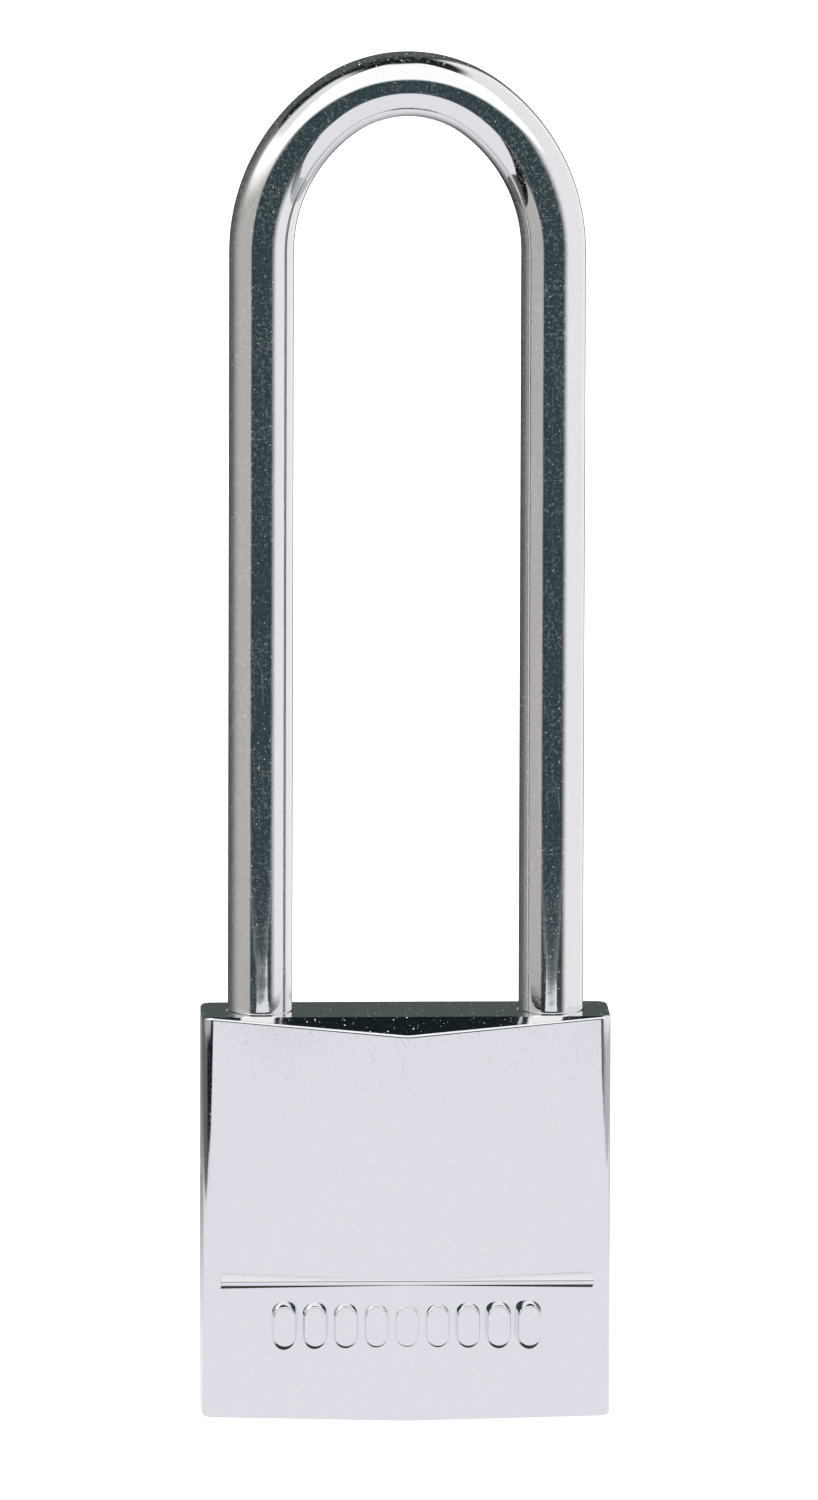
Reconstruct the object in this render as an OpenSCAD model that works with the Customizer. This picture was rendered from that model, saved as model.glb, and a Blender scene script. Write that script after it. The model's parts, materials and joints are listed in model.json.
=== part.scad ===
// Long-shackle padlock, 40 mm wide: a plated cover over a brass lock block.
// Millimetres, +Z up, the front faces -Y. The bottom rests on z = 0, centred on the origin.
// At rest the shackle is down and the plug stands at its unlocked angle, with both levers drawn in.

/* [Body] */
// Width of the body across the front
body_w = 40; // [40:0.5:44]
// Height of the body
body_h = 39.8; // [39:0.1:43]
// Depth of the body at its narrow sides and across its flat top
side_depth = 9; // [9:0.25:11]
// How far each broad face swells out towards its centre ridge
bulge = 2.5; // [2.25:0.25:4]
// How far the sloping top facet has dropped where it meets the ridge
facet_drop = 1.6; // [1:0.1:2]
// Radius of the four upright edges
edge_r = 1.2; // [0.6:0.1:1.8]
// Wall thickness of the cover
wall = 1.2; // [1:0.05:1.25]

/* [Relief] */
// Length of the raised bar on each broad face
bar_len = 36.5; // [30:0.5:37]
// Height of the raised bar's front
bar_t = 0.45; // [0.4:0.05:1.5]
// Height of the raised bar above the bottom
bar_z = 13.8; // [12:0.05:20]
// How far the relief stands proud of the ridge
relief_proud = 0.15; // [0.1:0.05:0.3]
// Number of raised studs in the row under the front bar
stud_count = 9; // [3:2:11]
// Width of a stud, whose ends are half circles
stud_w = 2.2; // [1:0.1:2.6]
// Height of a stud
stud_h = 4; // [2.8:0.1:4.4]

/* [Shackle] */
// Diameter of the shackle bar
shackle_d = 6.35; // [5.8:0.05:6.4]
// Distance between the centres of the legs
leg_pitch = 28.5; // [28.4:0.1:28.8]
// Clear height under the bow, above the top of the body
clearance = 88.2; // [30:0.1:120]
// How far the bow is drawn out upwards: 0 is a half circle
bow_oval = 1.1; // [0:0.1:2]
// Travel of the shackle when it springs open
lift = 12.5; // [12:0.1:12.5]

/* [Lock] */
// Diameter of the plug
plug_d = 8.4; // [8:0.1:8.6]
// Number of pin stacks
pin_count = 4; // [4:1:4]
// Diameter of the pins
pin_d = 2.5; // [2.2:0.1:2.6]
// Distance between the pin stacks
pin_pitch = 3.6; // [3.5:0.1:3.7]
// Travel of each locking lever into its leg
lever_travel = 1.2; // [1:0.05:1.2]

/* [Hidden] */

chrome = "#d9dbe0";
steel = "#b9bcc2";
spring_steel = "#8f959c";
brass = "#c9a44a";

$fn = 48;
eps = 0.01;
fit = 0.05;              // radial clearance of a running or sliding fit
bore_fit = 0.06;         // radial clearance round the shackle's legs
press_fit = 0.01;        // radial clearance of a driven pin

// Levels, from the bottom up
plate_t = 1.6;
block_top = body_h - 2;
spring_floor = 3.2;
first_pin_z = 7.2;
plug_top = 21.2;
retainer_z = block_top - 9.5;
lever_floor = block_top - 4.65;
lever_z = lever_floor + fit;
lever_t = 2.5;
leaf_t = 1.2;            // thickness of one lever's flat leaf
cover_z = lever_z + lever_t + 0.1;
notch_gap = 0.2;         // room above and below a lever in its notch

// Plan of the body
half_w = body_w / 2;
face_slope = atan(bulge / half_w);
ridge_y = side_depth / 2 + bulge;

// Shackle legs
leg_x = leg_pitch / 2;
shackle_r = shackle_d / 2;
bore_r = shackle_r + bore_fit;
bore_edge = leg_x - bore_r;
heel_tip = 11;
toe_tip = body_h + 0.7 - lift;

// Oval bow of three arcs, whose centres lie on a 3-4-5 triangle
crown_up = 4 * bow_oval;
flank_out = 3 * bow_oval;
flank_r = leg_x + flank_out;
crown_r = flank_r - 5 * bow_oval;
flank_angle = atan2(4, 3);
bow_z = body_h + clearance + shackle_r - crown_up - crown_r;

// Retaining pin beside the heel leg, and the cuts in the leg that it runs in
retainer_r = 1;
retainer_bite = 0.9;
retainer_x = bore_edge + retainer_bite - retainer_r;
retainer_flat = leg_x - bore_edge - retainer_bite - 0.1;
collar_top = retainer_z - retainer_r - lift - fit;
neck_top = collar_top + 2 * retainer_r + 0.2;

// Levers, drawn in
lever_tip = bore_edge - 0.12;
notch_flat = leg_x - lever_tip - lever_travel - 0.15;
lever_half = 3.7;
tip_half = 2.8;
thick_start = 4.85;
leaf_end = 4.2;
shoulder_x = 6.2;
window_far = 3.05;
window_near = 2.95;
window_half = 2.95;
cover_half_x = 8.2;
cover_half_y = 4.1;
spring_end = 9.2;        // outer end of a lever spring
lever_spring_r = 0.6;

// Cam on top of the plug
cam_reach = 2.85;
cam_r = 0.75;
tongue = [5, 1.8, 1.35];

// Pin stacks, drilled in from the toe side
plug_r = plug_d / 2;
key_pin_len = [2.3, 3.1, 2.6, 3.4];
pin_head = sqrt(plug_r * plug_r - pin_d * pin_d / 4);
driver_start = plug_r + 0.1;
driver_len = 3.2;
pin_spring_len = 5;
chamber_end = half_w - wall - fit;
spring_start = driver_start + driver_len;
closer_start = spring_start + pin_spring_len;

// Rivets and pins that hold the shell, the block and the plate together
rivet_x = 7.7;
rivet_r = 1.2;
rivet_head_r = 1.7;
rivet_head_t = 0.7;
rivet_top = 5.2;
case_pin_r = 1;
case_pin_z = 24;
case_pin_len = half_w - leg_x - bore_r - 0.25;

// ---- Shared shapes ----

// Distance of a broad face from the centre plane, moved in by an inset
function face_y(x, inset) =
    side_depth / 2 + bulge * (1 - abs(x) / half_w) - inset / cos(face_slope);

// Six-sided plan with two shallow ridges and four rounded corners
module plan(inset, corner_r) {
    steps = 8;
    cx = half_w - inset - corner_r;
    cy = face_y(cx, inset + corner_r);
    corner = [
        for (i = [0:steps])
            let (turn = (90 - face_slope) * i / steps)
            [cx + corner_r * cos(turn), cy + corner_r * sin(turn)]
    ];
    mirrored = [for (i = [steps:-1:0]) [-corner[i][0], corner[i][1]]];
    back = concat(corner, [[0, face_y(0, inset)]], mirrored);
    front = [for (i = [len(back) - 1:-1:0]) [back[i][0], -back[i][1]]];
    polygon(concat(back, front));
}

// Side view of the body with its two sloping top facets, run across the width
module facet_envelope() {
    over = 1;
    low = body_h - facet_drop * (bulge + over) / bulge;
    translate([-half_w - over, 0, 0])
        rotate([90, 0, 90])
            linear_extrude(body_w + 2 * over)
                polygon([
                    [-ridge_y - over, -over], [ridge_y + over, -over], [ridge_y + over, low],
                    [side_depth / 2, body_h], [-side_depth / 2, body_h], [-ridge_y - over, low]
                ]);
}

// Upright cylinder between two heights
module post(r, z0, z1) {
    translate([0, 0, z0]) cylinder(h = z1 - z0, r = r);
}

// Cylinder along +X between two distances from the centre
module rod_x(r, x0, x1) {
    translate([x0, 0, 0]) rotate([0, 90, 0]) cylinder(h = x1 - x0, r = r);
}

// Compression spring standing on the XY plane
module coil(outer_r, wire_r, length, turns, steps, sides) {
    mean_r = outer_r - wire_r;
    rings = turns * steps;
    climb = (length - 2 * wire_r) / rings;
    points = [
        for (i = [0:rings], k = [0:sides - 1])
            let (turn = 360 * i / steps, tilt = 360 * k / sides, r = mean_r + wire_r * cos(tilt))
            [r * cos(turn), r * sin(turn), wire_r + climb * i + wire_r * sin(tilt)]
    ];
    skin = [
        for (i = [0:rings - 1], k = [0:sides - 1])
            let (a = i * sides + k, b = i * sides + (k + 1) % sides)
            each [[a, b, b + sides], [a, b + sides, a + sides]]
    ];
    start_cap = [[for (k = [sides - 1:-1:0]) k]];
    end_cap = [[for (k = [0:sides - 1]) rings * sides + k]];
    polyhedron(points, concat(skin, start_cap, end_cap));
}

module at_heel() { translate([-leg_x, 0, 0]) children(); }
module at_toe() { translate([leg_x, 0, 0]) children(); }
module at_pin(i) { translate([0, 0, first_pin_z + (i - 1) * pin_pitch]) children(); }

// The plug's own parts are drawn with the pins towards +X and stand a quarter turn on at rest
module unlocked() { rotate([0, 0, 90]) children(); }

// ---- Cover ----

// Raised bar whose front stays flat while the face falls away behind it
module relief_bar() {
    top_draft = 7;
    bottom_draft = 16;
    front = -ridge_y - relief_proud;
    depth = bulge + relief_proud + wall / 2;
    translate([-bar_len / 2, 0, bar_z])
        rotate([90, 0, 90])
            linear_extrude(bar_len)
                polygon([
                    [front, -bar_t / 2], [front, bar_t / 2],
                    [front + depth, bar_t / 2 + depth * tan(top_draft)],
                    [front + depth, -bar_t / 2 - depth * tan(bottom_draft)]
                ]);
}

// Row of upright studs with round ends, in front of the face that falls away behind them
module stud_row() {
    pitch = 3;
    row_z = 9.5;
    depth = bulge + relief_proud + wall / 4;
    steps = 10;
    r = stud_w / 2;
    outline = [
        for (end = [1, -1], i = [0:steps])
            let (turn = 180 * i / steps + (end == 1 ? 0 : 180))
            [r * cos(turn), r * sin(turn) + end * (stud_h / 2 - r)]
    ];
    for (i = [0:stud_count - 1])
        translate([(i - (stud_count - 1) / 2) * pitch, -ridge_y - relief_proud, row_z])
            rotate([-90, 0, 0])
                linear_extrude(depth) polygon(outline);
}

module case() {
    color(chrome)
    difference() {
        union() {
            intersection() {
                linear_extrude(body_h) plan(0, edge_r);
                facet_envelope();
            }
            relief_bar();
            mirror([0, 1, 0]) relief_bar();
            stud_row();
        }
        translate([0, 0, -eps]) linear_extrude(block_top + eps) plan(wall, edge_r / 2);
        at_heel() post(bore_r, block_top - 1, body_h + 1);
        at_toe() post(bore_r, block_top - 1, body_h + 1);
        translate([0, 0, case_pin_z]) {
            rod_x(case_pin_r + press_fit, half_w - wall - 1, half_w + 1);
            mirror([1, 0, 0]) rod_x(case_pin_r + press_fit, half_w - wall - 1, half_w + 1);
        }
    }
}

// ---- Lock block ----

module lever_pocket() {
    pocket_top = cover_z + eps;
    reach = lever_tip + lever_travel + 0.2;
    translate([-reach, -tip_half - fit, lever_floor])
        cube([2 * reach, 2 * (tip_half + fit), pocket_top - lever_floor]);
    translate([-shoulder_x - lever_travel - fit, -lever_half - fit, lever_floor])
        cube([2 * (shoulder_x + lever_travel + fit), 2 * (lever_half + fit), pocket_top - lever_floor]);
    translate([-cover_half_x - fit, -cover_half_y - fit, cover_z])
        cube([2 * (cover_half_x + fit), 2 * (cover_half_y + fit), block_top - cover_z + 1]);
}

module lock_block() {
    color(brass)
    difference() {
        translate([0, 0, plate_t])
            linear_extrude(block_top - plate_t) plan(wall + fit, edge_r / 2);
        at_heel() post(bore_r, spring_floor, block_top + 1);
        at_toe() post(bore_r, toe_tip - 0.3, block_top + 1);
        post(plug_r + fit, plate_t - 1, lever_floor + eps);
        lever_pocket();
        for (i = [1:pin_count])
            at_pin(i) rod_x(pin_d / 2 + fit, 0, half_w);
        translate([-retainer_x, 0, retainer_z])
            rotate([90, 0, 0]) cylinder(h = 2 * ridge_y, r = retainer_r + press_fit, center = true);
        for (sx = [-1, 1])
            translate([sx * rivet_x, 0, 0]) post(rivet_r + press_fit, plate_t - 1, rivet_top + 0.1);
        translate([0, 0, case_pin_z]) {
            rod_x(case_pin_r + press_fit, half_w - case_pin_len - fit, half_w);
            mirror([1, 0, 0]) rod_x(case_pin_r + press_fit, half_w - case_pin_len - fit, half_w);
        }
    }
}

module base_plate() {
    color(chrome)
    difference() {
        linear_extrude(plate_t) plan(wall + fit, edge_r / 2);
        post(plug_r - 0.5, -1, plate_t + 1);
        for (sx = [-1, 1])
            translate([sx * rivet_x, 0, 0]) {
                post(rivet_r + press_fit, -1, plate_t + 1);
                post(rivet_head_r + press_fit, -1, rivet_head_t);
            }
    }
}

module base_rivets() {
    color(steel)
    for (sx = [-1, 1])
        translate([sx * rivet_x, 0, 0]) {
            post(rivet_head_r, 0, rivet_head_t);
            post(rivet_r, rivet_head_t - eps, rivet_top);
        }
}

module case_pins() {
    color(chrome)
    translate([0, 0, case_pin_z]) {
        rod_x(case_pin_r, half_w - case_pin_len, half_w);
        mirror([1, 0, 0]) rod_x(case_pin_r, half_w - case_pin_len, half_w);
    }
}

module retaining_pin() {
    pin_half = face_y(retainer_x, wall + fit) - 0.1;
    color(steel)
    translate([-retainer_x, 0, retainer_z])
        rotate([90, 0, 0]) cylinder(h = 2 * pin_half, r = retainer_r, center = true);
}

// ---- Shackle ----

// Straight leg with a bevelled end
module leg(tip_z) {
    bevel = 0.5;
    post(shackle_r, tip_z + bevel, bow_z);
    translate([0, 0, tip_z]) cylinder(h = bevel, r1 = shackle_r - bevel, r2 = shackle_r);
}

// Arc of the bow, from one angle to another above the level of its centre
module bow_arc(arc_r, from, to) {
    rotate([90, 0, 0])
        rotate([0, 0, from])
            rotate_extrude(angle = to - from) translate([arc_r, 0]) circle(shackle_r);
}

// The crown laps over each flank by a hair, so that the three arcs join into one solid
module bow() {
    lap = 0.05;
    for (side = [0, 1])
        mirror([side, 0, 0])
            translate([-flank_out, 0, bow_z]) bow_arc(flank_r, 0, flank_angle);
    translate([0, 0, bow_z + crown_up])
        bow_arc(crown_r, flank_angle - lap, 180 - flank_angle + lap);
}

// Flat cut across the inner side of a leg, for a leg centred on the origin with +X inwards
module flat_cut(flat_x, z0, z1) {
    translate([flat_x, -shackle_d, z0]) cube([shackle_d, 2 * shackle_d, z1 - z0]);
}

// Ring groove round a leg
module ring_cut(neck_r, z0, z1) {
    difference() {
        post(shackle_d, z0, z1);
        post(neck_r, z0 - 1, z1 + 1);
    }
}

module shackle() {
    notch_z0 = lever_z - notch_gap;
    notch_z1 = lever_z + lever_t + notch_gap;
    color(steel)
    union() {
        difference() {
            at_heel() leg(heel_tip);
            at_heel() {
                flat_cut(notch_flat, notch_z0, notch_z1);
                flat_cut(retainer_flat, collar_top, retainer_z + retainer_r + 0.1);
                ring_cut(retainer_flat, collar_top, neck_top);
                ring_cut(notch_flat, notch_z0 - lift, notch_z1 - lift);
            }
        }
        difference() {
            at_toe() leg(toe_tip);
            at_toe() mirror([1, 0, 0]) flat_cut(notch_flat, notch_z0, notch_z1);
        }
        bow();
    }
}

module shackle_spring() {
    color(spring_steel)
    at_heel()
        translate([0, 0, spring_floor])
            coil(outer_r = 2.9, wire_r = 0.35, length = heel_tip - spring_floor,
                turns = 6, steps = 24, sides = 8);
}

// ---- Locking levers ----

// Flat leaf with a window that the cam turns in, drawn for the lever that reaches towards -X
module lever_leaf(z0) {
    translate([0, 0, z0])
        linear_extrude(leaf_t)
            difference() {
                polygon([
                    [leaf_end, -lever_half], [leaf_end, lever_half],
                    [-shoulder_x, lever_half], [-shoulder_x, -lever_half]
                ]);
                translate([-window_near, -window_half])
                    square([window_near + window_far, 2 * window_half]);
            }
}

// Thick nose of a lever, bevelled on top so that the leg can push it in
module lever_nose() {
    bevel = 0.7;
    translate([-shoulder_x, -lever_half, lever_z])
        cube([shoulder_x - thick_start, 2 * lever_half, lever_t]);
    translate([0, tip_half, 0])
        rotate([90, 0, 0])
            linear_extrude(2 * tip_half)
                polygon([
                    [-lever_tip, lever_z], [-shoulder_x + eps, lever_z],
                    [-shoulder_x + eps, lever_z + lever_t],
                    [-lever_tip + bevel, lever_z + lever_t], [-lever_tip, lever_z + lever_t - bevel]
                ]);
}

// Slot in the back of a lever's nose that its spring lies in
module spring_groove(z0, z1) {
    width = 2 * (lever_spring_r + fit);
    start = spring_end + 0.1;
    translate([-start, -width / 2, z0]) cube([start - thick_start + eps, width, z1 - z0]);
}

module heel_lever() {
    color(brass)
    difference() {
        union() {
            lever_leaf(lever_z);
            lever_nose();
        }
        spring_groove(lever_z + leaf_t, lever_z + lever_t + 1);
    }
}

module toe_lever() {
    color(brass)
    mirror([1, 0, 0])
        difference() {
            union() {
                lever_leaf(lever_z + lever_t - leaf_t);
                lever_nose();
            }
            spring_groove(lever_z - 1, lever_z + lever_t - leaf_t);
        }
}

// Small spring that pushes a lever outwards, drawn for the lever that reaches towards -X
module lever_spring(z) {
    translate([-spring_end, 0, z])
        rotate([0, 90, 0])
            coil(lever_spring_r, wire_r = 0.12, length = spring_end - leaf_end - fit,
                turns = 7, steps = 12, sides = 6);
}

module heel_lever_spring() {
    color(spring_steel) lever_spring(lever_z + lever_t - lever_spring_r - 0.03);
}

module toe_lever_spring() {
    color(spring_steel) mirror([1, 0, 0]) lever_spring(lever_z + lever_spring_r + 0.03);
}

module lever_cover() {
    color(steel)
    translate([-cover_half_x, -cover_half_y, cover_z])
        cube([2 * cover_half_x, 2 * cover_half_y, block_top - cover_z]);
}

// ---- Plug and cam ----

// Stepped keyway, cut right through the plug
module keyway() {
    translate([-3.1, -1.1]) square([2.2, 1.6]);
    translate([-1, -0.5]) square([1.9, 1.4]);
    translate([0.8, -0.9]) square([2.2, 1.4]);
}

module plug() {
    nose_z = 0.25;
    color(brass)
    unlocked()
        difference() {
            union() {
                post(plug_r - 0.55, nose_z, plate_t + 1);
                post(plug_r, plate_t + fit, plug_top);
            }
            translate([0, 0, -1]) linear_extrude(plug_top - 1) keyway();
            for (i = [1:pin_count])
                at_pin(i) rod_x(pin_d / 2 + fit, 0.3, plug_r + 1);
            translate([-plug_r - 1, -tongue[1] / 2 - fit, plug_top - tongue[2] - fit])
                cube([2 * plug_r + 2, tongue[1] + 2 * fit, tongue[2] + 1]);
        }
}

module cam() {
    drum_z = plug_top + fit;
    drum_top = lever_floor - 0.1;
    color(steel) {
        post(plug_r - fit, drum_z, drum_top);
        unlocked()
            translate([-tongue[0] / 2, -tongue[1] / 2, drum_z - tongue[2]]) cube(tongue + [0, 0, eps]);
        for (sx = [-1, 1])
            translate([sx * (cam_reach - cam_r), 0, 0])
                post(cam_r, drum_top - eps, lever_z + lever_t - 0.05);
        translate([-(cam_reach - cam_r), -cam_r, drum_top - eps])
            cube([2 * (cam_reach - cam_r), 2 * cam_r, lever_z + lever_t - 0.05 - drum_top + eps]);
    }
}

// ---- Pin stacks ----

// Pin with a pointed tip, which a key's cut would lift
module key_pin(i) {
    cone = 0.8;
    tip_r = 0.4;
    start = pin_head - key_pin_len[i - 1];
    color(brass)
    unlocked()
        at_pin(i) rotate([0, 90, 0])
            rotate_extrude()
                polygon([
                    [0, start], [tip_r, start], [pin_d / 2, start + cone],
                    [pin_d / 2, pin_head], [0, pin_head]
                ]);
}

module driver_pin(i) {
    color(steel) at_pin(i) rod_x(pin_d / 2, driver_start, spring_start);
}

module pin_spring(i) {
    color(spring_steel)
    at_pin(i)
        translate([spring_start, 0, 0])
            rotate([0, 90, 0])
                coil(outer_r = 1.1, wire_r = 0.17, length = pin_spring_len,
                    turns = 6, steps = 12, sides = 6);
}

module chamber_plug(i) {
    color(brass) at_pin(i) rod_x(pin_d / 2 + fit - press_fit, closer_start, chamber_end - 0.1);
}

case();
lock_block();
base_plate();
base_rivets();
case_pins();
shackle();
shackle_spring();
retaining_pin();
heel_lever();
toe_lever();
heel_lever_spring();
toe_lever_spring();
lever_cover();
plug();
cam();
for (i = [1:pin_count]) {
    key_pin(i);
    driver_pin(i);
    pin_spring(i);
    chamber_plug(i);
}
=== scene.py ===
import json
import math

import bmesh
import bpy
from mathutils import Matrix, Vector


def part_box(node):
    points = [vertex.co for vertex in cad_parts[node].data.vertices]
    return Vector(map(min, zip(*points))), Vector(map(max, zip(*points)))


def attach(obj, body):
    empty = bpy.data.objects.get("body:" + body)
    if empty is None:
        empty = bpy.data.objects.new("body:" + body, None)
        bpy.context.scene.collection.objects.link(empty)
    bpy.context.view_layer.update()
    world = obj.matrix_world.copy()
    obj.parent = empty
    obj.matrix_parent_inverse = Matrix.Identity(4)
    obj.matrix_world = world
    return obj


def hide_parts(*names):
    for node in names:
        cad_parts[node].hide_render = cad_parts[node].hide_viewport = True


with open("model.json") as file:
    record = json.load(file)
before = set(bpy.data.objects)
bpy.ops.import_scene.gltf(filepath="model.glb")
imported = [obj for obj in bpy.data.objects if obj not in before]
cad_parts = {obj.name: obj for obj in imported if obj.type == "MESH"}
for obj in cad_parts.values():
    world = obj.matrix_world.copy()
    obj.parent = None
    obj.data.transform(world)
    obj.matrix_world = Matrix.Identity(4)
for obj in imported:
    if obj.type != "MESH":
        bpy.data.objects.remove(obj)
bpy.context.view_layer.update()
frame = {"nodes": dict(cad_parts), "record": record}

# Long-shackle padlock. Lengths below are in millimetres, in the frame of the CAD model:
# +Z up, the front faces -Y, the bottom rests on z = 0. Meshes are scaled to metres as they are made.
MM = 0.001


def box_mm(node):
    low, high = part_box(node)
    return low / MM, high / MM


# ---- Sizes: the outer ones come from the frame, the rest repeat the CAD model's own ----

_, case_high = box_mm("case")
shackle_low, shackle_high = box_mm("shackle")
_, plate_high = box_mm("base_plate")
plug_low, plug_high = box_mm("plug")
_, rivet_high = box_mm("base_rivets")

HALF_W = case_high.x
BODY_H = case_high.z
SIDE_DEPTH = 9.0
BULGE = 2.5
FACET_DROP = 1.6
RELIEF_PROUD = 0.15
EDGE_R = 1.2
WALL = 1.2
FIT = 0.05
BLOCK_TOP = BODY_H - 2
RIDGE_Y = SIDE_DEPTH / 2 + BULGE
FACE_SLOPE = math.atan2(BULGE, HALF_W)
FACET_SLOPE = math.atan2(FACET_DROP, BULGE)

BAR_LEN = 36.5
BAR_T = 0.45
BAR_Z = 13.8
BAR_DRAFT = (7, 16)
STUD_COUNT = 9
STUD_W = 2.2
STUD_H = 4.0
STUD_PITCH = 3.0
STUD_Z = 9.5

BAR_R = (shackle_high.y - shackle_low.y) / 2
LEG_X = 14.25
BORE_R = BAR_R + 0.06
BOW_OVAL = 1.1
CROWN_UP = 4 * BOW_OVAL
FLANK_OUT = 3 * BOW_OVAL
FLANK_R = LEG_X + FLANK_OUT
CROWN_R = FLANK_R - 5 * BOW_OVAL
FLANK_ANGLE = math.atan2(4, 3)
BOW_Z = shackle_high.z - BAR_R - CROWN_UP - CROWN_R
HEEL_TIP = shackle_low.z
LIFT = 12.5
TOE_TIP = BODY_H + 0.7 - LIFT
NOTCH_Z = (BLOCK_TOP - 4.8, BLOCK_TOP - 1.9)
NOTCH_FLAT = 2.005
RETAINER_Z = BLOCK_TOP - 9.5
RETAINER_FLAT = 2.235
COLLAR_TOP = RETAINER_Z - 1.05 - LIFT

PLUG_R = (plug_high.x - plug_low.x) / 2
PIN_R = 1.25
PIN_PITCH = 3.6
FIRST_PIN_Z = 7.2
PLATE_T = plate_high.z
RIVET_X = 7.7
RIVET_R = 1.2
RIVET_HEAD_R = 1.7
RIVET_HEAD_T = 0.7
CASE_PIN_Z = 24.0
CASE_PIN_R = 1.0
CASE_PIN_LEN = 2.8


# ---- Mesh helpers ----

def new_object(name, verts, faces):
    """A mesh object from points in millimetres, with doubled points merged and its faces turned outwards."""
    mesh = bpy.data.meshes.new(name)
    mesh.from_pydata([Vector(v) * MM for v in verts], [], faces)
    bm = bmesh.new()
    bm.from_mesh(mesh)
    bmesh.ops.remove_doubles(bm, verts=bm.verts, dist=1e-7)
    bmesh.ops.dissolve_degenerate(bm, edges=bm.edges, dist=1e-7)
    bmesh.ops.recalc_face_normals(bm, faces=bm.faces)
    bm.to_mesh(mesh)
    bm.free()
    obj = bpy.data.objects.new(name, mesh)
    bpy.context.scene.collection.objects.link(obj)
    return obj


def apply_modifiers(obj):
    graph = bpy.context.evaluated_depsgraph_get()
    made = bpy.data.meshes.new_from_object(obj.evaluated_get(graph))
    obj.modifiers.clear()
    old = obj.data
    obj.data = made
    bpy.data.meshes.remove(old)


def combine(obj, other, operation="DIFFERENCE"):
    """Cuts other out of obj, or joins it on with UNION, and uses other up."""
    cut = obj.modifiers.new("combine", "BOOLEAN")
    cut.operation = operation
    cut.solver = "EXACT"
    cut.object = other
    apply_modifiers(obj)
    bpy.data.objects.remove(other)


def round_edges(obj, width, steps=2, limit=30):
    """Rounds every edge sharper than the limit, in degrees."""
    bevel = obj.modifiers.new("bevel", "BEVEL")
    bevel.width = width * MM
    bevel.segments = steps
    bevel.limit_method = "ANGLE"
    bevel.angle_limit = math.radians(limit)
    bevel.use_clamp_overlap = True
    apply_modifiers(obj)
    bm = bmesh.new()
    bm.from_mesh(obj.data)
    bmesh.ops.remove_doubles(bm, verts=bm.verts, dist=2e-6)
    bmesh.ops.dissolve_degenerate(bm, edges=bm.edges, dist=1e-6)
    bm.to_mesh(obj.data)
    bm.free()


def shade(obj):
    """Smooth shading with flat faces kept flat, and a sharp break at every true corner."""
    for face in obj.data.polygons:
        face.use_smooth = True
    obj.data.set_sharp_from_angle(angle=math.radians(35))
    even = obj.modifiers.new("even", "WEIGHTED_NORMAL")
    even.keep_sharp = True
    apply_modifiers(obj)


def ring_faces(rings, count, closed=True):
    """Quads between rings of points that were listed one ring after another."""
    faces = []
    for i in range(rings - 1):
        for k in range(count if closed else count - 1):
            a = i * count + k
            b = i * count + (k + 1) % count
            faces.append((a, b, b + count, a + count))
    return faces


def prism(name, outline, low, high):
    """Upright solid on a closed outline of (x, y) points."""
    n = len(outline)
    verts = [(x, y, low) for x, y in outline] + [(x, y, high) for x, y in outline]
    faces = ring_faces(2, n) + [tuple(range(n - 1, -1, -1)), tuple(range(n, 2 * n))]
    return new_object(name, verts, faces)


def block(name, low, high):
    """Box between two corners, used as a cutter or to be bevelled."""
    outline = [(low[0], low[1]), (high[0], low[1]), (high[0], high[1]), (low[0], high[1])]
    return prism(name, outline, low[2], high[2])


def rounded(points, radius, steps=4):
    """A run of (r, z) points with each inner corner rounded, or less where a side is too short."""
    out = [points[0]]
    for before, corner, after in zip(points, points[1:], points[2:]):
        c = Vector(corner)
        to_a, to_b = Vector(before) - c, Vector(after) - c
        half = to_a.angle(to_b) / 2
        reach = min(radius / math.tan(half), to_a.length * 0.45, to_b.length * 0.45)
        a = c + to_a.normalized() * reach
        b = c + to_b.normalized() * reach
        for k in range(steps + 1):
            t = k / steps
            out.append(tuple(a * (1 - t) ** 2 + c * 2 * t * (1 - t) + b * t ** 2))
    return out + [points[-1]]


def revolve(name, profile, segments=96, place=Matrix.Identity(4)):
    """Solid of revolution about Z. The profile of (r, z) points starts and ends on the axis."""
    inner = profile[1:-1]
    verts = []
    for r, z in inner:
        for k in range(segments):
            turn = 2 * math.pi * k / segments
            verts.append((r * math.cos(turn), r * math.sin(turn), z))
    faces = ring_faces(len(inner), segments)
    for row, (_, z) in ((0, profile[0]), (len(inner) - 1, profile[-1])):
        verts.append((0, 0, z))
        for k in range(segments):
            faces.append((row * segments + k, row * segments + (k + 1) % segments, len(verts) - 1))
    return new_object(name, [place @ Vector(v) for v in verts], faces)


def sweep(name, stations, segments):
    """Round bar through (centre, side, up, radius) stations, closed with a flat disc at each end."""
    verts = []
    for centre, side, up, radius in stations:
        for k in range(segments):
            turn = 2 * math.pi * k / segments
            verts.append(centre + radius * (math.cos(turn) * side + math.sin(turn) * up))
    last = (len(stations) - 1) * segments
    ends = [tuple(range(segments - 1, -1, -1)), tuple(range(last, last + segments))]
    return new_object(name, verts, ring_faces(len(stations), segments) + ends)


# ---- Cover ----

def face_y(x, inset=0.0):
    """Distance of a broad face from the centre plane, moved in by an inset."""
    return SIDE_DEPTH / 2 + BULGE * (1 - abs(x) / HALF_W) - inset / math.cos(FACE_SLOPE)


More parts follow.
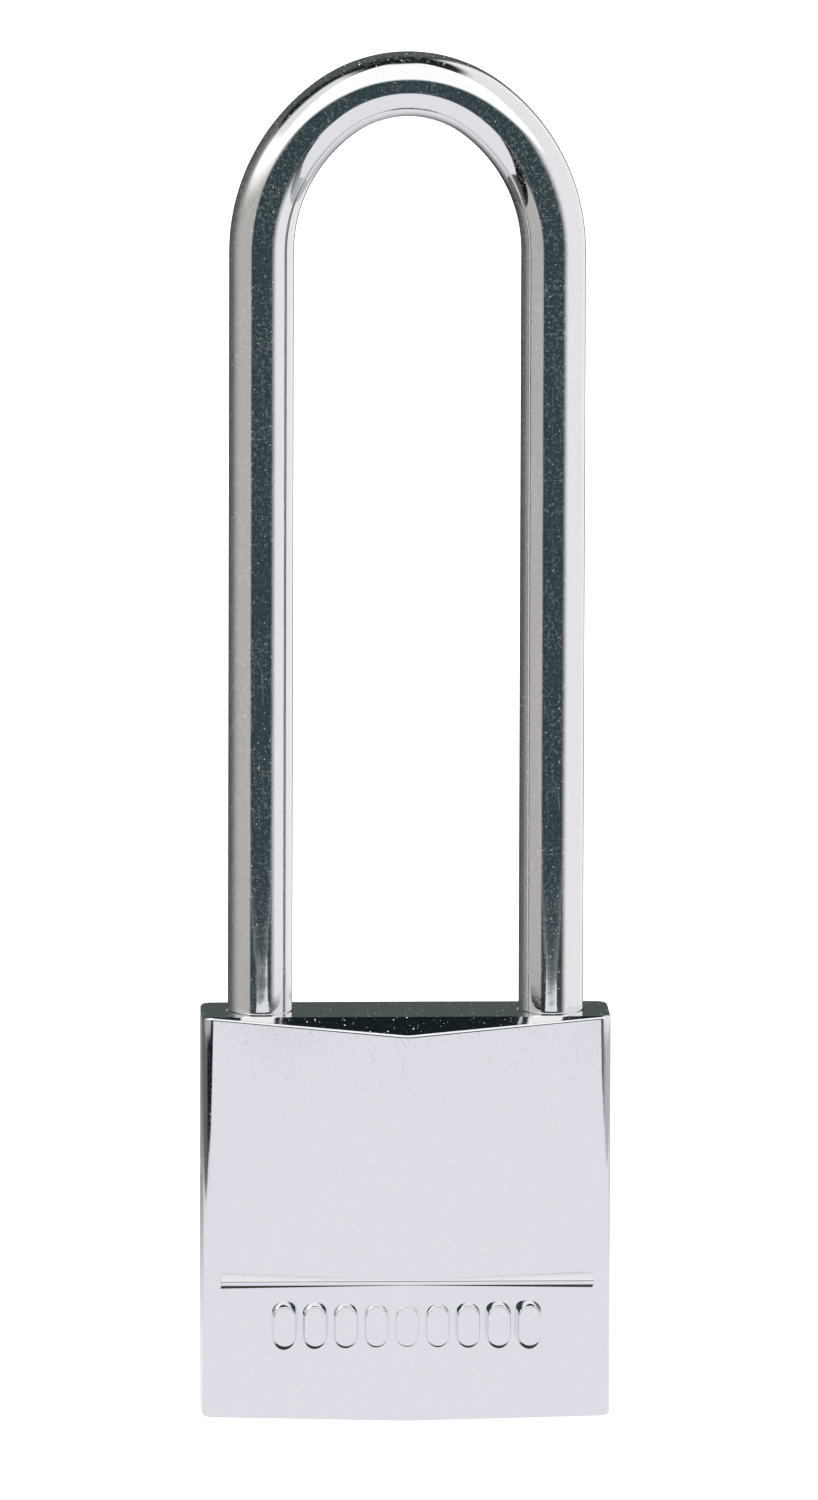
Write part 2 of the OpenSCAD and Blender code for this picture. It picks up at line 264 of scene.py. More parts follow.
def quarter_plan(inset, corner_r, ridge_r, steps=8):
    """Points and outward normals of the back right quarter of the plan, from the ridge to the side."""
    centre_y = face_y(0, inset) - ridge_r / math.cos(FACE_SLOPE)
    corner_x = HALF_W - inset - corner_r
    corner_y = face_y(corner_x, inset + corner_r)
    quarter = []
    for centre, r, start, end in (
        (Vector((0, centre_y)), ridge_r, 0, FACE_SLOPE),
        (Vector((corner_x, corner_y)), corner_r, FACE_SLOPE, math.pi / 2),
    ):
        for k in range(steps + 1):
            turn = start + (end - start) * k / steps
            normal = Vector((math.sin(turn), math.cos(turn)))
            quarter.append((centre + r * normal, normal))
    quarter.append((Vector((HALF_W - inset, 0)), Vector((1, 0))))
    return quarter


def whole_plan(inset, corner_r, ridge_r, steps=8):
    """The whole plan, clockwise from the back ridge."""
    right = quarter_plan(inset, corner_r, ridge_r, steps)

    def flip(quarter, sx, sy):
        return [(Vector((p.x * sx, p.y * sy)), Vector((n.x * sx, n.y * sy))) for p, n in quarter]

    front_right = flip(right[-2::-1], 1, -1)
    front_left = flip(right[1:], -1, -1)
    back_left = flip(right[-2:0:-1], -1, 1)
    return right + front_right + front_left + back_left


def slerp(a, b, t):
    angle = a.angle(b)
    return (a * math.sin((1 - t) * angle) + b * math.sin(t * angle)) / math.sin(angle)


def cover_skin():
    """Outside of the cover: walls, two sloping top facets and a flat top, all edges rolled to one radius."""
    roll = 0.35
    ridge_r = 8.0
    arc = 6
    up, down = Vector((0, 0, 1)), Vector((0, 0, -1))
    top_z = BODY_H - roll
    edge_y = SIDE_DEPTH / 2 - roll * (1 - math.cos(FACET_SLOPE)) / math.sin(FACET_SLOPE)
    columns = []
    for p, n in whole_plan(roll, EDGE_R - roll, ridge_r - roll, steps=10):
        normal = n.to_3d()
        drop = max(abs(p.y) - edge_y, 0) * math.tan(FACET_SLOPE)
        foot = Vector((p.x, p.y, roll))
        shoulder = Vector((p.x, p.y, top_z - drop))
        if drop > 0:
            sign = math.copysign(1, p.y)
            brow = Vector((p.x, sign * edge_y, top_z))
            tilt = Vector((0, sign * math.sin(FACET_SLOPE), math.cos(FACET_SLOPE)))
        else:
            brow = shoulder
            tilt = slerp(normal, up, 0.5)
        column = [foot + roll * slerp(down, normal, k / arc) for k in range(arc + 1)]
        column += [shoulder + roll * slerp(normal, tilt, k / arc) for k in range(arc + 1)]
        column += [brow + roll * slerp(tilt, up, k / arc) for k in range(arc + 1)]
        columns.append(column)
    rows = len(columns[0])
    count = len(columns)
    verts = [columns[k][i] for i in range(rows) for k in range(count)]
    faces = ring_faces(rows, count)
    faces += [tuple(range(count)), tuple(range((rows - 1) * count, rows * count))]
    return new_object("cover", verts, faces)


def relief_bar(side):
    """Raised bar whose front stays flat while the face falls away behind it."""
    front = RIDGE_Y + RELIEF_PROUD
    depth = BULGE + RELIEF_PROUD + WALL / 2
    rise = depth * math.tan(math.radians(BAR_DRAFT[0]))
    fall = depth * math.tan(math.radians(BAR_DRAFT[1]))
    section = ((front, BAR_Z - BAR_T / 2), (front, BAR_Z + BAR_T / 2),
               (front - depth, BAR_Z + BAR_T / 2 + rise), (front - depth, BAR_Z - BAR_T / 2 - fall))
    verts = [(x, side * y, z) for x in (-BAR_LEN / 2, BAR_LEN / 2) for y, z in section]
    faces = ring_faces(2, 4) + [(3, 2, 1, 0), (4, 5, 6, 7)]
    bar = new_object("relief_bar", verts, faces)
    round_edges(bar, 0.08)
    return bar


def stud(x):
    """Raised upright stud with round ends, whose sides slope out towards the face, most of all below."""
    front = -(RIDGE_Y + RELIEF_PROUD)
    depth = BULGE
    steps = 16
    r = STUD_W / 2
    side_out, top_out, low_out = (depth * math.tan(math.radians(draft)) for draft in (5, 8, 20))
    verts = []
    for k in range(2):
        for end, grow in ((1, top_out), (-1, low_out)):
            for i in range(steps + 1):
                turn = math.pi * i / steps + (0 if end == 1 else math.pi)
                out_x = (r + side_out * k) * math.cos(turn)
                out_z = (r + grow * k) * math.sin(turn) + end * (STUD_H / 2 - r)
                verts.append((x + out_x, front + depth * k, STUD_Z + out_z))
    n = len(verts) // 2
    faces = ring_faces(2, n) + [tuple(range(n - 1, -1, -1)), tuple(range(n, 2 * n))]
    made = new_object("stud", verts, faces)
    round_edges(made, 0.14, steps=3, limit=50)
    return made


def leg_bore(x):
    """Cutter for a leg hole, flared at the top so that it leaves a rolled lip."""
    lip = 0.3
    profile = [(0, BLOCK_TOP - 1), (BORE_R, BLOCK_TOP - 1)]
    for k in range(7):
        turn = math.pi / 2 * k / 6
        profile.append((BORE_R + lip * (1 - math.cos(turn)), BODY_H - lip + lip * math.sin(turn)))
    profile += [(BORE_R + lip, BODY_H + 1), (0, BODY_H + 1)]
    return revolve("bore", profile, 96, Matrix.Translation((x, 0, 0)))


def side_pin_hole(side):
    """Cutter for a case pin's hole, with a slight chamfer outside."""
    chamfer = 0.12
    r = CASE_PIN_R + 0.01
    profile = [(0, HALF_W - WALL - 1), (r, HALF_W - WALL - 1), (r, HALF_W - chamfer),
               (r + chamfer, HALF_W), (r + chamfer, HALF_W + 1), (0, HALF_W + 1)]
    turn = Matrix.Rotation(math.radians(90 * side), 4, "Y")
    return revolve("pin_hole", profile, 48, Matrix.Translation((0, 0, CASE_PIN_Z)) @ turn)


def make_cover():
    cover = cover_skin()
    for side in (-1, 1):
        combine(cover, relief_bar(side), "UNION")
    for i in range(STUD_COUNT):
        combine(cover, stud((i - (STUD_COUNT - 1) / 2) * STUD_PITCH), "UNION")
    inner = [tuple(p) for p, _ in whole_plan(WALL, EDGE_R / 2, 6.0)]
    combine(cover, prism("hollow", inner, -1, BLOCK_TOP))
    for side in (-1, 1):
        combine(cover, leg_bore(side * LEG_X))
        combine(cover, side_pin_hole(side))
    shade(cover)
    return cover


# ---- Shackle ----

def shackle_path():
    """Stations from the toe tip, over the bow, to the heel tip."""
    bevel = 0.5
    y_axis = Vector((0, 1, 0))
    stations = []

    def add(x, z, nx, nz, r=BAR_R):
        stations.append((Vector((x, 0, z)), Vector((nx, 0, nz)), y_axis, r))

    def arc(centre_x, centre_z, radius, turn):
        c, s = math.cos(turn), math.sin(turn)
        add(centre_x + radius * c, centre_z + radius * s, c, s)

    def tip(z):
        return [(z, BAR_R - bevel), (z + 0.06, BAR_R - bevel + 0.12), (z + bevel - 0.06, BAR_R - 0.12),
                (z + bevel + 0.1, BAR_R - 0.01), (z + bevel + 0.3, BAR_R)]

    leg_steps = 24
    for z, r in tip(TOE_TIP):
        add(LEG_X, z, 1, 0, r)
    for k in range(1, leg_steps):
        add(LEG_X, TOE_TIP + (BOW_Z - TOE_TIP) * k / leg_steps, 1, 0)
    flank_steps, crown_steps = 28, 40
    for k in range(flank_steps):
        arc(-FLANK_OUT, BOW_Z, FLANK_R, FLANK_ANGLE * k / flank_steps)
    for k in range(crown_steps + 1):
        arc(0, BOW_Z + CROWN_UP, CROWN_R, FLANK_ANGLE + (math.pi - 2 * FLANK_ANGLE) * k / crown_steps)
    for k in range(flank_steps - 1, -1, -1):
        arc(FLANK_OUT, BOW_Z, FLANK_R, math.pi - FLANK_ANGLE * k / flank_steps)
    for k in range(leg_steps - 1, 0, -1):
        add(-LEG_X, HEEL_TIP + (BOW_Z - HEEL_TIP) * k / leg_steps, -1, 0)
    for z, r in reversed(tip(HEEL_TIP)):
        add(-LEG_X, z, -1, 0, r)
    return stations


def flat_cutter(leg, flat, low, high):
    """Cutter for a flat across the inner side of a leg: leg is -1 for the heel and 1 for the toe."""
    edge = leg * (LEG_X - flat)
    far = leg * (LEG_X - 2 * BAR_R)
    x0, x1 = sorted((edge, far))
    return block("flat", (x0, -2 * BAR_R, low), (x1, 2 * BAR_R, high))


def groove_cutter(neck_r, low, high):
    """Cutter for a ring groove round the heel leg."""
    big = 2 * BAR_R
    n = 96
    verts, faces = [], []
    for r, z in ((neck_r, low), (big, low), (big, high), (neck_r, high)):
        for k in range(n):
            turn = 2 * math.pi * k / n
            verts.append((-LEG_X + r * math.cos(turn), r * math.sin(turn), z))
    faces = ring_faces(4, n)
    for k in range(n):
        faces.append((3 * n + k, 3 * n + (k + 1) % n, (k + 1) % n, k))
    return new_object("groove", verts, faces)


def make_shackle():
    shackle = sweep("shackle_bar", shackle_path(), 128)
    low, high = NOTCH_Z
    combine(shackle, flat_cutter(-1, NOTCH_FLAT, low, high))
    combine(shackle, flat_cutter(1, NOTCH_FLAT, low, high))
    combine(shackle, flat_cutter(-1, RETAINER_FLAT, COLLAR_TOP, RETAINER_Z + 1.1))
    combine(shackle, groove_cutter(RETAINER_FLAT, COLLAR_TOP, COLLAR_TOP + 2.2))
    combine(shackle, groove_cutter(NOTCH_FLAT, low - LIFT, high - LIFT))
    round_edges(shackle, 0.12)
    shade(shackle)
    return shackle


# ---- Underside and plug ----

def make_base_plate():
    outline = [tuple(p) for p, _ in whole_plan(WALL + FIT, EDGE_R / 2, 6.0)]
    plate = prism("bottom_plate", outline, 0, PLATE_T)
    hole_r = PLUG_R - 0.5
    combine(plate, revolve("hole", [(0, -1), (hole_r, -1), (hole_r, PLATE_T + 1), (0, PLATE_T + 1)]))
    for side in (-1, 1):
        place = Matrix.Translation((side * RIVET_X, 0, 0))
        head_r, hole_r = RIVET_HEAD_R + 0.01, RIVET_R + 0.01
        profile = [(0, -1), (head_r, -1), (head_r, RIVET_HEAD_T), (hole_r, RIVET_HEAD_T),
                   (hole_r, PLATE_T + 1), (0, PLATE_T + 1)]
        combine(plate, revolve("hole", profile, 64, place))
    round_edges(plate, 0.1)
    shade(plate)
    return plate


def make_rivets():
    """Two rivets with flat heads, each struck in the middle."""
    pair = None
    for side in (-1, 1):
        profile = [(0, 0.12), (0.35, 0.1), (0.55, 0), (RIVET_HEAD_R, 0), (RIVET_HEAD_R, RIVET_HEAD_T - 0.01),
                   (RIVET_R, RIVET_HEAD_T + 0.02), (RIVET_R, rivet_high.z), (0, rivet_high.z)]
        place = Matrix.Translation((side * RIVET_X, 0, 0))
        made = revolve("bottom_rivets", rounded(profile, 0.12), 64, place)
        pair = made if pair is None else join(pair, made)
    shade(pair)
    return pair


def join(a, b):
    """Two separate solids in one object."""
    bm = bmesh.new()
    bm.from_mesh(a.data)
    bm.from_mesh(b.data)
    bm.to_mesh(a.data)
    bm.free()
    bpy.data.objects.remove(b)
    return a


def make_case_pins():
    """Two driven pins with slightly domed outer ends.

    They are 0.535 mm longer inwards than the CAD's. Out of sight, both cut into the block, and the left one
    reaches 0.225 mm into the heel leg. The CAD's length is HALF_W - LEG_X - BORE_R - 0.25.
    """
    start = HALF_W - CASE_PIN_LEN
    pair = None
    for side in (-1, 1):
        profile = [(0, start), (CASE_PIN_R, start), (CASE_PIN_R, HALF_W - 0.12),
                   (CASE_PIN_R - 0.18, HALF_W - 0.02), (0, HALF_W)]
        turn = Matrix.Rotation(math.radians(90 * side), 4, "Y")
        place = Matrix.Translation((0, 0, CASE_PIN_Z)) @ turn
        made = revolve("side_pins", rounded(profile, 0.08), 48, place)
        pair = made if pair is None else join(pair, made)
    shade(pair)
    return pair


def make_plug():
    """Plug with its keyway, pin holes and the slot that drives the cam."""
    nose_z = plug_low.z
    top = plug_high.z
    profile = [(0, nose_z), (PLUG_R - 0.55, nose_z), (PLUG_R - 0.55, PLATE_T + FIT), (PLUG_R, PLATE_T + FIT),
               (PLUG_R, top), (0, top)]
    plug = revolve("lock_plug", rounded(profile, 0.12), 96)
    keyway = [(-3.1, -1.1), (-0.9, -1.1), (-0.9, -0.5), (0.8, -0.5), (0.8, -0.9), (3.0, -0.9), (3.0, 0.5),
              (0.9, 0.5), (0.9, 0.9), (-1.0, 0.9), (-1.0, 0.5), (-3.1, 0.5)]
    turned = [(-y, x) for x, y in keyway]
    combine(plug, prism("keyway", turned, -1, top - 1.8))
    for i in range(4):
        to_back = Matrix.Rotation(math.radians(-90), 4, "X")
        place = Matrix.Translation((0, 0, FIRST_PIN_Z + i * PIN_PITCH)) @ to_back
        r = PIN_R + FIT
        combine(plug, revolve("hole", [(0, 0.3), (r, 0.3), (r, PLUG_R + 1), (0, PLUG_R + 1)], 64, place))
    combine(plug, block("slot", (-0.95, -PLUG_R - 1, top - 1.4), (0.95, PLUG_R + 1, top + 1)))
    round_edges(plug, 0.08)
    shade(plug)
    return plug


# ---- Materials ----

class Graph:
    """Short way to add nodes to a tree. Inputs are values or sockets."""

    def __init__(self, tree):
        self.tree = tree

    def add(self, kind, inputs=None, **settings):
        node = self.tree.nodes.new(kind)
        for key, value in settings.items():
            setattr(node, key, value)
        for key, value in (inputs or {}).items():
            if isinstance(value, bpy.types.NodeSocket):
                self.tree.links.new(value, node.inputs[key])
            else:
                node.inputs[key].default_value = value
        return node

    def math(self, operation, a, b=0.0):
        return self.add("ShaderNodeMath", {0: a, 1: b}, operation=operation).outputs[0]

    def ramp(self, value, low, high, out_low=0.0, out_high=1.0, shape="SMOOTHSTEP"):
        inputs = {"Value": value, "From Min": low, "From Max": high, "To Min": out_low, "To Max": out_high}
        return self.add("ShaderNodeMapRange", inputs, interpolation_type=shape).outputs["Result"]

    def noise(self, where, size, detail=2.0):
        """Noise whose features are about size millimetres across."""
        inputs = {"Vector": where, "Scale": 1 / (size * MM), "Detail": detail}
        return self.add("ShaderNodeTexNoise", inputs).outputs["Fac"]

    def stretched(self, where, sizes, turn=(0, 0, 0)):
        """Coordinates scaled so that noise of scale 1 has features of these sizes in millimetres."""
        angles = tuple(math.radians(t) for t in turn)
        rotated = self.add("ShaderNodeMapping", {"Vector": where, "Rotation": angles}).outputs[0]
        scale = tuple(1 / (s * MM) for s in sizes)
        return self.add("ShaderNodeMapping", {"Vector": rotated, "Scale": scale}).outputs[0]

    def streaks(self, where, sizes, turn, low, high):
        """Sparse thin scratches along one direction."""
        inputs = {"Vector": self.stretched(where, sizes, turn), "Scale": 1.0, "Detail": 1.0}
        return self.ramp(self.add("ShaderNodeTexNoise", inputs).outputs["Fac"], low, high)

    def specks(self, where, pitch, radius, share):
        """Small round dots, on a share of the cells of a voronoi pattern."""
        cells = self.add("ShaderNodeTexVoronoi", {"Vector": where, "Scale": 1 / (pitch * MM)})
        dot = self.ramp(cells.outputs["Distance"], radius / pitch, 0.4 * radius / pitch)
        tone = self.add("ShaderNodeSeparateColor", {0: cells.outputs["Color"]}).outputs[0]
        return self.math("MULTIPLY", dot, self.math("GREATER_THAN", tone, 1 - share))

    def total(self, first, *rest):
        for value in rest:
            first = self.math("ADD", first, value)
        return first

    def add_vectors(self, a, b):
        return self.add("ShaderNodeVectorMath", {0: a, 1: b}, operation="ADD").outputs[0]

    def scaled(self, value, factor):
        return self.math("MULTIPLY", value, factor)


def metal(name):
    """A metal's principled shader, its graph and its object coordinates."""
    mat = bpy.data.materials.new(name)
    mat.use_nodes = True
    graph = Graph(mat.node_tree)
    shader = mat.node_tree.nodes["Principled BSDF"]
    shader.inputs["Metallic"].default_value = 1.0
    where = graph.add("ShaderNodeTexCoord").outputs["Object"]
    return mat, graph, shader, where


def mix_colour(graph, factor, a, b):
    node = graph.add("ShaderNodeMix", {"Factor": factor}, data_type="RGBA")
    for socket, value in ((node.inputs[6], a), (node.inputs[7], b)):
        socket.default_value = (*value, 1)
    return node.outputs[2]


def surface(graph, shader, colour, roughness, height, depth):
    """Links colour, roughness and a bump whose height is in millimetres of depth."""
    graph.tree.links.new(colour, shader.inputs["Base Color"])
    graph.tree.links.new(roughness, shader.inputs["Roughness"])
    bump = graph.add("ShaderNodeBump", {"Height": height, "Distance": depth * MM, "Strength": 1.0})
    graph.tree.links.new(bump.outputs[0], shader.inputs["Normal"])


def chrome(name, colour, dust_share, film, waves, scratch_turn, undercut=(0, 0)):
    """Bright plating with faint waves, slanting scratches, a thin film in patches and dust on top.

    Between the two undercut heights, faces that look down get painted shade: dull and nearly black.
    """
    mat, g, shader, where = metal(name)
    facing = g.add("ShaderNodeSeparateXYZ", {0: g.add("ShaderNodeNewGeometry").outputs["Normal"]}).outputs[2]
    settled = g.ramp(facing, 0.3, 0.95, 0.25, 1.0)
    height = g.add("ShaderNodeSeparateXYZ", {0: where}).outputs[2]
    low, high = (level * MM for level in undercut)
    level = g.math("MULTIPLY", g.math("GREATER_THAN", height, low), g.math("LESS_THAN", height, high))
    # Painted shade: faces that look down, between the two heights, are darkened to a dull near-black.
    painted_underside_shade = g.math("MULTIPLY", g.ramp(facing, -0.3, -0.7), level)
    dust = g.scaled(g.specks(where, 0.6, 0.1, dust_share), settled)
    fine_dust = g.scaled(g.specks(where, 0.33, 0.06, dust_share), settled)
    haze = g.ramp(g.noise(where, 9, 3), 0.4, 0.75)
    patches = g.ramp(g.noise(where, 5, 2), 0.35, 0.65, 0.3, 1.0)
    mottle = g.scaled(g.ramp(g.noise(where, 0.35, 3), 0.45, 0.8), patches)
    scratches = g.streaks(where, (0.05, 0.05, 7), scratch_turn, 0.66, 0.76)
    cross = g.streaks(where, (0.06, 0.06, 4), (20, 50, 0), 0.68, 0.78)
    rings = g.streaks(where, (9, 9, 0.08), (0, 2, 0), 0.72, 0.8)
    # Dust, film and scratches, plus the painted shade on the undersides, all lower the metal's shine.
    dirt_and_painted_shade = g.total(g.scaled(dust, 0.9), g.scaled(fine_dust, 0.5), g.scaled(mottle, film),
                   g.scaled(scratches, film), g.scaled(cross, film), g.scaled(rings, film), painted_underside_shade)
    dirt_and_painted_shade = g.math("MINIMUM", dirt_and_painted_shade, 1.0)
    rough = g.total(g.scaled(haze, 0.03), g.scaled(scratches, 0.1), g.scaled(cross, 0.06),
                    g.scaled(dust, 0.4), g.scaled(painted_underside_shade, 0.9), 0.035)
    relief = g.total(g.scaled(g.noise(where, 6, 1), waves), g.scaled(g.noise(where, 0.9, 2), waves * 0.05),
                     g.scaled(scratches, -0.02), g.scaled(dust, 0.06))
    g.tree.links.new(g.math("SUBTRACT", 1.0, dirt_and_painted_shade), shader.inputs["Metallic"])
    # The near-black colour here is painted shade on the relief's undersides.
    surface(g, shader, mix_colour(g, painted_underside_shade, colour, (0.006, 0.008, 0.008)), rough, relief, 0.02)
    return mat


def turned_brass(name, colour, dark):
    """Machined brass: fine tool lines, darker tarnish in patches."""
    mat, g, shader, where = metal(name)
    along = g.stretched(where, (2.5, 2.5, 0.12))
    lines = g.add("ShaderNodeTexNoise", {"Vector": along, "Scale": 1.0, "Detail": 3.0})
    tarnish = g.ramp(g.noise(where, 3.5, 4), 0.38, 0.7)
    pits = g.specks(where, 0.7, 0.08, 0.3)
    tone = g.total(g.scaled(tarnish, 0.7), g.scaled(pits, 0.4))
    rough = g.total(g.scaled(lines.outputs["Fac"], 0.18), g.scaled(tarnish, 0.15), g.scaled(pits, 0.2), 0.16)
    height = g.total(lines.outputs["Fac"], g.scaled(pits, -0.5))
    surface(g, shader, mix_colour(g, tone, colour, dark), rough, height, 0.004)
    return mat


def ground_steel(name, colour, dark, grain):
    """Plain steel with a ground or drawn grain."""
    mat, g, shader, where = metal(name)
    lines = g.add("ShaderNodeTexNoise", {"Vector": g.stretched(where, grain), "Scale": 1.0, "Detail": 3.0})
    stain = g.ramp(g.noise(where, 2.5, 3), 0.45, 0.75)
    rough = g.total(g.scaled(lines.outputs["Fac"], 0.2), g.scaled(stain, 0.12), 0.14)
    surface(g, shader, mix_colour(g, stain, colour, dark), rough, lines.outputs["Fac"], 0.003)
    return mat


# ---- Studio ----

def softbox(g, az, el, az_range, el_range, edge, colour, first_edge=None):
    """Radiance of one soft light at an azimuth and elevation, in degrees. The first edge may be softer."""
    first = first_edge or edge
    inside = g.ramp(az, az_range[0] - first, az_range[0] + first)
    inside = g.math("MULTIPLY", inside, g.ramp(az, az_range[1] + edge, az_range[1] - edge))
    inside = g.math("MULTIPLY", inside, g.ramp(el, el_range[0] - edge, el_range[0] + edge))
    inside = g.math("MULTIPLY", inside, g.ramp(el, el_range[1] + edge, el_range[1] - edge))
    return g.add("ShaderNodeVectorMath", {0: colour, "Scale": inside}, operation="SCALE").outputs[0]


def make_world():
    """Dark studio with soft lights in front above, to the left and to the right, and a pale backdrop.

    Azimuth 0 is towards the camera and grows to the right. Each light is its azimuth range, elevation range,
    edge softness and radiance, with a softer first edge where there is a fifth value.
    """
    world = bpy.data.worlds.new("studio")
    bpy.context.scene.world = world
    world.use_nodes = True
    g = Graph(world.node_tree)
    view = g.add("ShaderNodeTexCoord").outputs["Generated"]
    axes = g.add("ShaderNodeSeparateXYZ", {0: view})
    az = g.math("DEGREES", g.math("ARCTAN2", axes.outputs[0], g.math("MULTIPLY", axes.outputs[1], -1.0)))
    el = g.math("DEGREES", g.math("ARCSINE", axes.outputs[2]))
    lights = (
        ((-62, 62), (22, 82), 4, (1.2, 1.2, 1.18)),
        ((44, 152), (-80, 62), 5, (0.95, 0.93, 0.94), 12),
        ((-113, -38), (-80, 30), 4, (0.5, 0.49, 0.46), 34),
        ((-100, -34), (14, 66), 8, (0.9, 0.9, 0.86)),
        ((-42, 46), (-80, 28), 6, (0.028, 0.046, 0.052)),
        ((-200, -130), (-20, 60), 10, (0.075, 0.088, 0.082)),
        ((130, 200), (-20, 60), 10, (0.075, 0.088, 0.082)),
    )
    total = None
    for light in lights:
        part = softbox(g, az, el, *light)
        total = part if total is None else g.add_vectors(total, part)
    dim = (0.008, 0.014, 0.016)
    total = g.add_vectors(total, dim)
    seen = g.add("ShaderNodeLightPath").outputs["Is Camera Ray"]
    mixed = g.add("ShaderNodeMix", {"Factor": seen}, data_type="RGBA")
    g.tree.links.new(total, mixed.inputs[6])
    mixed.inputs[7].default_value = (1, 1, 1, 1)
    back = world.node_tree.nodes["Background"]
    g.tree.links.new(mixed.outputs[2], back.inputs["Color"])


def plane(name, low, high, z):
    verts = [(low[0], low[1], z), (high[0], low[1], z), (high[0], high[1], z), (low[0], high[1], z)]
    obj = new_object(name, verts, [(0, 1, 2, 3)])
    return obj


def make_floor():
    """Plain pale floor that the camera sees, and the pale table top that the plating mirrors."""
    floor = plane("floor", (-4000, -4000), (4000, 4000), -0.05)
    floor.visible_glossy = False
    mat = bpy.data.materials.new("floor")
    mat.use_nodes = True
    shader = mat.node_tree.nodes["Principled BSDF"]
    shader.inputs["Base Color"].default_value = (0.9, 0.9, 0.9, 1)
    shader.inputs["Roughness"].default_value = 0.9
    shader.inputs["Emission Color"].default_value = (1, 1, 1, 1)
    shader.inputs["Emission Strength"].default_value = 0.7
    floor.data.materials.append(mat)

    table = plane("table", (-400, -650), (400, 400), -0.1)
    table.visible_camera = False
    table.visible_diffuse = False
    table.visible_shadow = False
    mat = bpy.data.materials.new("table")
    mat.use_nodes = True
    g = Graph(mat.node_tree)
    nodes = mat.node_tree.nodes
    nodes.remove(nodes["Principled BSDF"])
    place = g.add("ShaderNodeSeparateXYZ", {0: g.add("ShaderNodeTexCoord").outputs["Object"]})
    x, y = place.outputs[0], place.outputs[1]
    narrow, wide = 0.083, 0.155
    centre_x = 0.010
    half_width = g.ramp(y, -0.235, -0.085, narrow, wide, "LINEAR")
    across = g.math("ABSOLUTE", g.math("SUBTRACT", x, centre_x))
    inside = g.ramp(g.math("SUBTRACT", half_width, across), -0.002, 0.002)
    front = g.ramp(y, -0.260, -0.244)
    fade = g.ramp(y, 0.150, 0.010, 0.1, 1.0)
    inside = g.math("MULTIPLY", inside, g.math("MULTIPLY", front, fade))
    inside = g.math("MULTIPLY", inside, g.ramp(y, 0.190, 0.150))
    reach = g.ramp(y, -0.600, -0.262, 0.0, 1.0, "LINEAR")
    apron = g.math("MULTIPLY", reach, g.ramp(front, 1, 0))
    inside = g.total(inside, g.scaled(g.math("POWER", apron, 30.0), 0.22))
    glow = g.add("ShaderNodeEmission", {"Color": (0.955, 0.955, 1.0, 1), "Strength": 0.95})
    left_tone = g.ramp(y, -0.09, -0.02, 0.01, 0.15)
    right_tone = g.ramp(y, -0.20, -0.05, 0.10, 0.55)
    to_right = g.ramp(x, -0.07, 0.07)
    tone = g.total(left_tone, g.math("MULTIPLY", to_right, g.math("SUBTRACT", right_tone, left_tone)))
    dim = g.add("ShaderNodeEmission", {"Color": (0.92, 0.97, 1.0, 1), "Strength": tone})
    from_middle = g.add("ShaderNodeTexCoord").outputs["Object"]
    distance = g.add("ShaderNodeVectorMath", {0: from_middle}, operation="LENGTH")
    near = g.ramp(distance.outputs["Value"], 0.248, 0.236)
    clear = g.add("ShaderNodeBsdfTransparent")
    around = g.add("ShaderNodeMixShader", {0: near, 1: clear.outputs[0], 2: dim.outputs[0]})
    mixed = g.add("ShaderNodeMixShader", {0: inside, 1: around.outputs[0], 2: glow.outputs[0]})
    g.tree.links.new(mixed.outputs[0], nodes["Material Output"].inputs["Surface"])
    table.data.materials.append(mat)


def make_lights():
    """Two large soft lamps that light the floor and the brass. The plating mirrors the studio instead."""
    lamps = (
        ("key", (0.7, -1.0, 1.6), 1.4, 26),
        ("fill", (-1.2, -0.5, 1.4), 1.6, 18),
    )
    for name, place, size, power in lamps:
        lamp = bpy.data.lights.new(name, "AREA")
        lamp.size = size
        lamp.energy = power
        obj = bpy.data.objects.new(name, lamp)
        obj.location = place
        obj.rotation_euler = (-Vector(place)).to_track_quat("-Z", "Y").to_euler()
        obj.visible_glossy = False
        bpy.context.scene.collection.objects.link(obj)


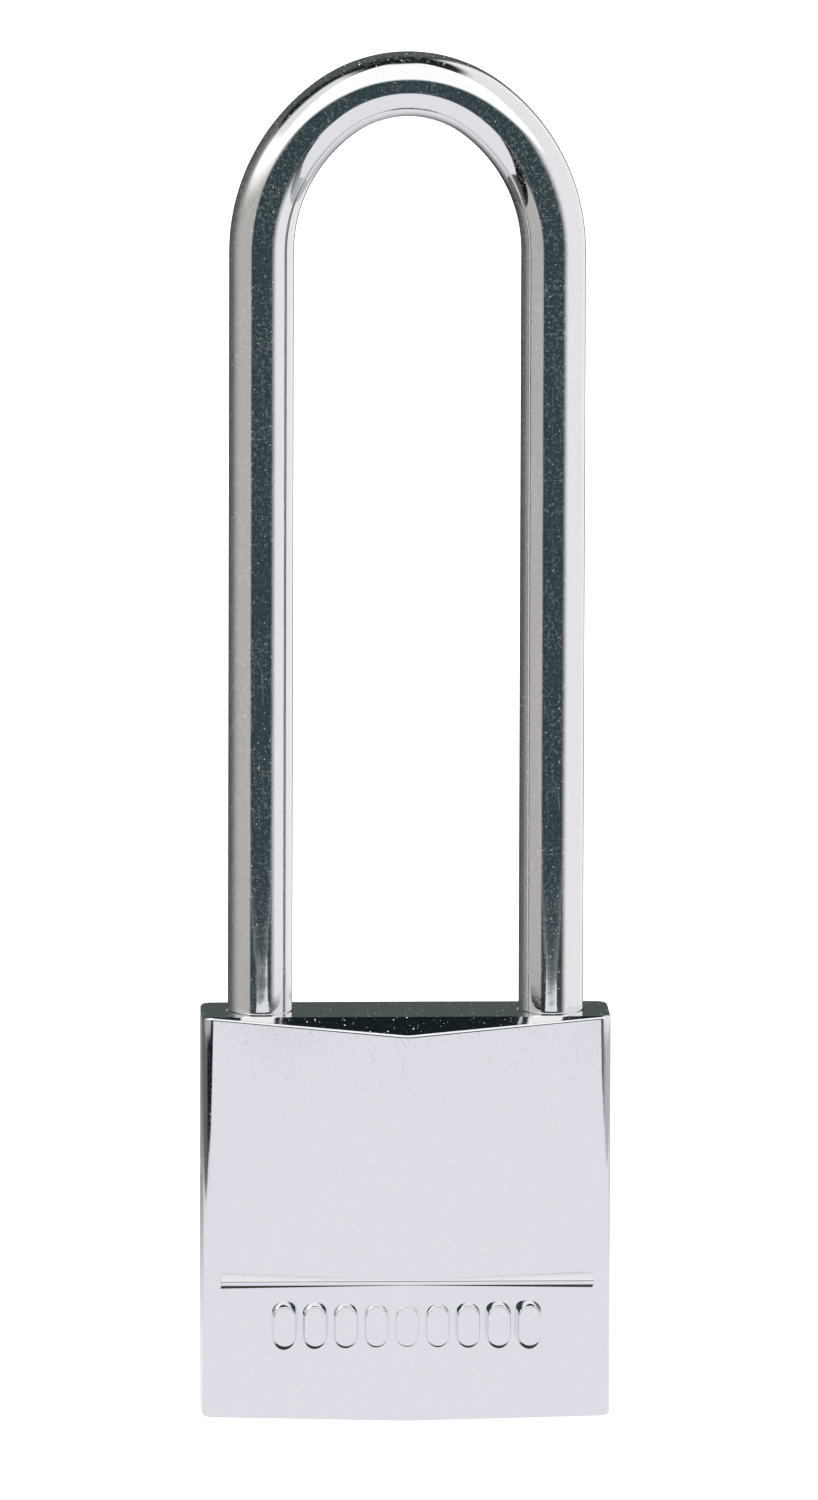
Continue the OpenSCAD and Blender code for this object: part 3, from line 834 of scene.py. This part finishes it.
def make_camera():
    """Far camera a little left of the centre line and 9 degrees above it."""
    target = Vector((0.285, 0, 65.47)) * MM
    distance = 2.5
    pitch, azimuth, roll = math.radians(8.99), math.radians(2.34), math.radians(0.17)
    frame_height = 0.1467
    level = math.cos(pitch)
    forward = Vector((math.sin(azimuth) * level, math.cos(azimuth) * level, -math.sin(pitch)))
    data = bpy.data.cameras.new("camera")
    data.sensor_width = 36
    data.lens = data.sensor_width * distance / frame_height
    data.clip_start = 0.05
    data.clip_end = 20
    camera = bpy.data.objects.new("camera", data)
    camera.matrix_world = (Matrix.Translation(target - forward * distance)
                           @ forward.to_track_quat("-Z", "Y").to_matrix().to_4x4()
                           @ Matrix.Rotation(roll, 4, "Z"))
    bpy.context.scene.collection.objects.link(camera)
    bpy.context.scene.camera = camera


# ---- The scene ----

make_camera()
make_world()
make_floor()
make_lights()
bpy.context.scene.view_settings.view_transform = "Standard"

finishes = {
    # The last value of plated_shell is the height band, in millimetres, where the undersides get painted
    # shade.
    "plated_shell": chrome("plated_shell", (0.80, 0.80, 0.825), 0.35, 0.012, 0.6, (0, 35, 0), (5, 16)),
    "shackle_steel": chrome("shackle_steel", (0.80, 0.80, 0.81), 0.55, 0.09, 1.4, (0, 3, 0)),
    "brass": turned_brass("brass", (0.80, 0.60, 0.26), (0.50, 0.34, 0.13)),
    "plug_brass": turned_brass("plug_brass", (0.84, 0.66, 0.32), (0.56, 0.40, 0.17)),
    "steel": ground_steel("steel", (0.62, 0.62, 0.63), (0.42, 0.41, 0.40), (0.1, 3, 3)),
    "spring_steel": ground_steel("spring_steel", (0.48, 0.49, 0.50), (0.25, 0.25, 0.26), (1, 1, 0.1)),
}


def show(piece, node, body, slot):
    """Dresses a piece, rides it on its body and lets it stand for its CAD node."""
    piece.data.materials.clear()
    piece.data.materials.append(finishes[slot])
    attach(piece, body)
    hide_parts(node)


show(make_cover(), "case", "body", "plated_shell")
show(make_shackle(), "shackle", "shackle", "shackle_steel")
show(make_base_plate(), "base_plate", "body", "plated_shell")
show(make_rivets(), "base_rivets", "body", "steel")
show(make_case_pins(), "case_pins", "body", "plated_shell")
show(make_plug(), "plug", "plug", "plug_brass")

slots = {part["node"]: part["material_slot"] for part in frame["record"]["subparts"]}
for name, node in frame["nodes"].items():
    node.data.materials.clear()
    node.data.materials.append(finishes[slots[name]])
